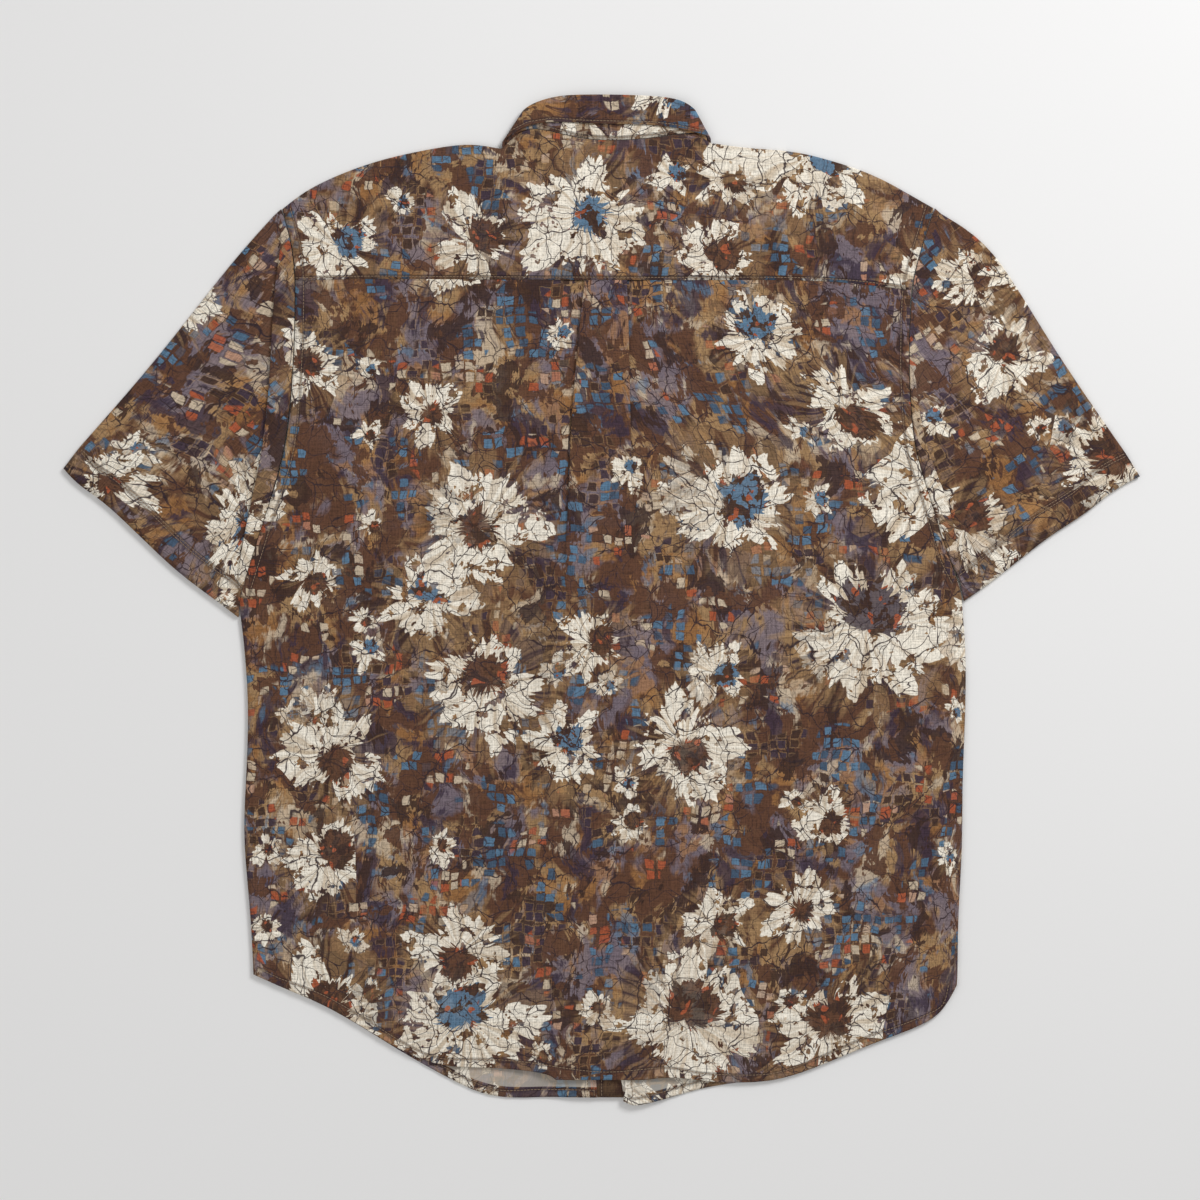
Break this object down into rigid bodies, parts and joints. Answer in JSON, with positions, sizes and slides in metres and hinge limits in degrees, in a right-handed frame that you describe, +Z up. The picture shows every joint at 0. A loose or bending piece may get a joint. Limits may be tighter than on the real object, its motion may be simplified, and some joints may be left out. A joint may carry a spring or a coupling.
{
  "type": "short-sleeve shirt",
  "caption": "Loose short-sleeve shirt in printed cotton with a collar, yoke, box pleat and shirt-tail hem, laid flat face down.",
  "frame": {"origin": "middle of the shirt's outline, on the surface it lies on", "axes": "+X to the right seen from above, across the back; +Y from the hem to the collar; +Z up, out of the back"},
  "size_m": [0.9151, 0.8588, 0.0098],
  "materials": {
    "printed_cotton": "soft plain-weave cotton, batik-style floral print",
    "button_plastic": "dark brown, polished"
  },
  "bodies": {
    "root": {"back": "printed_cotton", "yoke": "printed_cotton", "front_left": "printed_cotton", "front_right": "printed_cotton", "placket": "printed_cotton", "sleeve_left": "printed_cotton", "sleeve_right": "printed_cotton", "collar_stand": "printed_cotton", "collar_fall": "printed_cotton", "button_collar": "button_plastic", "button_1": "button_plastic", "button_2": "button_plastic", "button_3": "button_plastic", "button_4": "button_plastic", "button_5": "button_plastic", "button_6": "button_plastic", "button_7": "button_plastic"}
  },
  "joints": []
}
